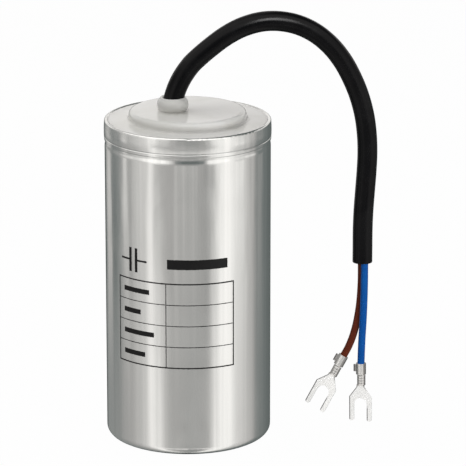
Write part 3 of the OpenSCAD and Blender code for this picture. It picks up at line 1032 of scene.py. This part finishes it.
# %% Three rows of panels
UPPER_FOOT = (-0.31, -0.25)
UPPER_HEAD = (-0.19, -0.13)
UPPER_PANELS = {
    "edge strip": (-140, 8, 5, 0.66),
    "side gap": (-122, 4, 6, 0.12),
    "side card": (-95, 6, 6, 0.85),
    "near gap": (-84, 3, 4, 0.34),
    "near card": (-74, 5, 5, 0.74),
    "left frame": (-34, 10, 10, 0.44),
    "front card": (2, 19, 6, 0.6),
    "right frame": (30, 8, 9, 0.38),
    "right card": (77, 6, 8, 1.05),
    "right strip": (120, 4, 6, 0.34),
}
LEANING_FLAG = (-126, 6, 6, 0.26)
FLAG_LEAN = math.radians(22)
FLAG_SPAN = (-0.234, -0.263)
HIGH_FOOT = (-0.12, -0.04)
HIGH_HEAD = (0.12, 0.2)
HIGH_PANELS = {
    "left far card": (-78, 24, 10, 0.95),
    "right far card": (78, 24, 8, 0.95),
    "left card": (-44, 8, 20, 1.35),
    "right card": (46, 8, 18, 1.35),
}
TABLE_FOOT = (-0.66, -0.56)
TABLE_HEAD = (-0.43, -0.37)
TABLE = (0, 28, 12, 0.8)


def hang_rows(tree, colour, compass, rise):
    """Hangs all three rows before the soft boxes."""
    upper = between(tree, rise, UPPER_FOOT, UPPER_HEAD)
    for panel in UPPER_PANELS.values():
        colour = hang_panel(tree, colour, compass, panel, upper)
    lean = fit_range(tree, rise, *FLAG_SPAN, 0, FLAG_LEAN)
    colour = hang_panel(tree, colour, calc(tree, "SUBTRACT", compass, lean), LEANING_FLAG, upper)
    high = between(tree, rise, HIGH_FOOT, HIGH_HEAD)
    for panel in HIGH_PANELS.values():
        colour = hang_panel(tree, colour, compass, panel, high)
    return hang_panel(tree, colour, compass, TABLE, between(tree, rise, TABLE_FOOT, TABLE_HEAD))


print("panels:", len(UPPER_PANELS), "upper,", len(HIGH_PANELS), "high, a leaning flag and the table")

# %% [markdown]
# ## Corner, backdrop and ceiling
#
# Between the two soft boxes the room stays dark above the table, which gives the dark patch in the middle
# of the bead. A white backdrop closes the room behind the object. The ceiling is the brightest part and
# falls off towards the back, most of all on the right, so that the glossy cover is not one flat white.

# %% The rest of the room
CORNER_MIDDLE = math.radians(4)
CORNER_INNER = math.radians(10)
CORNER_OUTER = math.radians(27)
CORNER_RISE = (-0.08, -0.01)
CORNER_LEVEL = 0.15
BACKDROP_FROM = math.radians(110)
BACKDROP_FULL = math.radians(130)
BACKDROP_RISE = (0.03, 0.15)
BACKDROP_LEVEL = 1
CEILING_RISE = (0.4, 0.6)
CEILING_LEVEL = 1.5
BACK_TOP_RISE = (0.38, 0.5)
BACK_TOP_LEVEL = 0.55
RIGHT_BACK = (132, 34, 14, 0.12)


def close_room(tree, colour, compass, rise):
    """Paints the corner in front, the backdrop and the ceiling over what is there already."""
    off = calc(tree, "ABSOLUTE", calc(tree, "SUBTRACT", compass, CORNER_MIDDLE))
    front = fit_range(tree, off, CORNER_INNER, CORNER_OUTER, 1, 0, smooth=True)
    corner = calc(tree, "MULTIPLY", front, fit_range(tree, rise, *CORNER_RISE, smooth=True))
    colour = mix_colour(tree, corner, colour, grey(CORNER_LEVEL))
    aside = calc(tree, "ABSOLUTE", compass)
    behind = fit_range(tree, aside, BACKDROP_FROM, BACKDROP_FULL, smooth=True)
    backdrop = calc(tree, "MULTIPLY", behind, fit_range(tree, rise, *BACKDROP_RISE, smooth=True))
    colour = mix_colour(tree, backdrop, colour, grey(BACKDROP_LEVEL))
    overhead = fit_range(tree, rise, *CEILING_RISE, smooth=True)
    colour = mix_colour(tree, overhead, colour, grey(CEILING_LEVEL))
    above = fit_range(tree, rise, *BACK_TOP_RISE, smooth=True)
    colour = mix_colour(tree, calc(tree, "MULTIPLY", behind, above), colour, grey(BACK_TOP_LEVEL))
    return hang_panel(tree, colour, compass, RIGHT_BACK, above)


print("the ceiling's level is", CEILING_LEVEL)

# %% [markdown]
# ## The dome
#
# All of that is one emission material on a sphere round the object. Its dark greys are tinted towards a
# cool green and its light ones towards a warm white, which is what gives bare aluminium its colour. The
# sphere is hidden from every ray but the glossy ones, so it neither lights nor shades matt surfaces.

# %% Paint and place the dome
DOME_R = 3
DOME_SEGMENTS = 64
DOME_RINGS = 32
DOME_LEVEL = 1.0
COOL_TINT = (0.92, 1.04, 1.02, 1)
WARM_TINT = (1.025, 0.995, 0.97, 1)
TINT_SPAN = (0.1, 0.45)


def dome_material():
    """The whole room as one glowing finish for the inside of the dome."""
    material = bpy.data.materials.new("studio_surround")
    material.use_nodes = True
    tree = material.node_tree
    tree.nodes.clear()
    axes = add(tree, "SeparateXYZ", {0: object_place(tree)}).outputs
    rise = calc(tree, "DIVIDE", axes["Z"], DOME_R)
    compass = calc(tree, "ARCTAN2", axes["X"], calc(tree, "MULTIPLY", axes["Y"], -1))
    colour = hang_rows(tree, compass_ramp(tree, compass), compass, rise)
    colour = close_room(tree, colour, compass, rise)
    tint = mix_colour(tree, fit_range(tree, colour, *TINT_SPAN, smooth=True), COOL_TINT, WARM_TINT)
    tinted = add(tree, "VectorMath", {0: colour, 1: tint}, operation="MULTIPLY").outputs[0]
    glow = add(tree, "Emission", {"Color": tinted, "Strength": DOME_LEVEL})
    add(tree, "OutputMaterial", {"Surface": glow.outputs[0]})
    return material


bpy.ops.mesh.primitive_uv_sphere_add(segments=DOME_SEGMENTS, ring_count=DOME_RINGS, radius=DOME_R)
dome = bpy.context.object
dome.name = "studio_dome"
dome.data.materials.append(dome_material())
dome.visible_camera = False
dome.visible_diffuse = False
dome.visible_transmission = False
dome.visible_volume_scatter = False
dome.visible_shadow = False
print("made", dome.name)

# %% [markdown]
# ## The floor
#
# The object stands on a white sweep that runs into the background without an edge. More light on the floor
# would bleach the object too. So the floor glows almost white for rays that see it directly, and the small
# share that is plain and matt keeps the object's soft shadow. For light that bounces between matt surfaces
# it is plain paint. Mirror rays pass it by and see the dome's table in its place.

# %% Make the floor
FLOOR_SIZE = 6
FLOOR_GAP = 0.1
FLOOR_PAINT = 0.85
FLOOR_GLOW = 0.975


def seen_directly(tree):
    """One for the camera, mirror rays and rays through glass, and nothing for light on matt surfaces."""
    rays = add(tree, "LightPath").outputs
    direct = calc(tree, "MAXIMUM", rays["Is Camera Ray"], rays["Is Glossy Ray"])
    return calc(tree, "MAXIMUM", direct, rays["Is Transmission Ray"])


bpy.ops.mesh.primitive_plane_add(size=FLOOR_SIZE, location=(0, 0, -FLOOR_GAP * MM))
floor = bpy.context.object
floor.name = "white_floor"
floor.visible_glossy = False
floor_paint = bpy.data.materials.new("white_floor")
floor_paint.use_nodes = True
tree = floor_paint.node_tree
tree.nodes.clear()
matt = add(tree, "BsdfDiffuse", {"Color": grey(FLOOR_PAINT)})
glow = add(tree, "Emission", {"Color": grey(1), "Strength": 1})
share = calc(tree, "MULTIPLY", seen_directly(tree), FLOOR_GLOW)
blend = add(tree, "MixShader", {0: share, 1: matt.outputs[0], 2: glow.outputs[0]})
add(tree, "OutputMaterial", {"Surface": blend.outputs[0]})
floor.data.materials.append(floor_paint)
print("made", floor.name)

# %% [markdown]
# ## The sky
#
# Soft light from all sides fills the shadows, as white walls do. A sky as bright as the white background
# would wash the colours out, so the world is white where it is seen directly and a plain, lower level for
# all else.

# %% Make the sky
SKY_LEVEL = 0.35

sky = bpy.data.worlds.new("plain_sky")
sky.use_nodes = True
tree = sky.node_tree
tree.nodes.clear()
plain = add(tree, "Background", {"Color": grey(1), "Strength": SKY_LEVEL})
white = add(tree, "Background", {"Color": grey(1), "Strength": 1})
blend = add(tree, "MixShader", {0: seen_directly(tree), 1: plain.outputs[0], 2: white.outputs[0]})
add(tree, "OutputWorld", {"Surface": blend.outputs[0]})
scene.world = sky
print("made", sky.name)

# %% [markdown]
# ## The lamps
#
# The dome shows in gloss alone, so matt plastic needs lamps for its roundness. A large one overhead lights
# the cover and the cable, and a small card low on the right lifts the terminals. Black plastic hardly shows
# either, so the sheath has a soft lamp of its own that draws the long highlight on its arch. Light linking
# keeps that lamp off all the other pieces.

# %% Place the lamps
OBJECT_MIDDLE = (0, 0, 0.06)
TERMINALS = (0.05, 0, 0.015)
ARCH_TOP = (0.02, 0, 0.13)


def lamp(name, place, aim, size, watts):
    """A square lamp without a mirror image of its own, because the dome gives the reflections."""
    data = bpy.data.lights.new(name, "AREA")
    data.size = size
    data.energy = watts
    piece = bpy.data.objects.new(name, data)
    piece.location = place
    piece.rotation_euler = (Vector(aim) - Vector(place)).to_track_quat("-Z", "Y").to_euler()
    piece.visible_glossy = False
    scene.collection.objects.link(piece)
    return piece


lamp("top_lamp", place=(-0.2, 0.1, 0.8), aim=OBJECT_MIDDLE, size=0.8, watts=3.5)
lamp("terminal_card", place=(0.16, -0.26, 0.03), aim=TERMINALS, size=0.12, watts=0.68)
sheath_lamp = lamp("sheath_lamp", place=(0.27, -0.76, 0.65), aim=ARCH_TOP, size=0.35, watts=8)
sheath_lamp.visible_glossy = True
only_sheath = bpy.data.collections.new("lit_by_sheath_lamp")
only_sheath.objects.link(sheath)
sheath_lamp.light_linking.receiver_collection = only_sheath
scene.view_settings.view_transform = "Standard"
print("lamps:", ", ".join(light.name for light in bpy.data.lights))
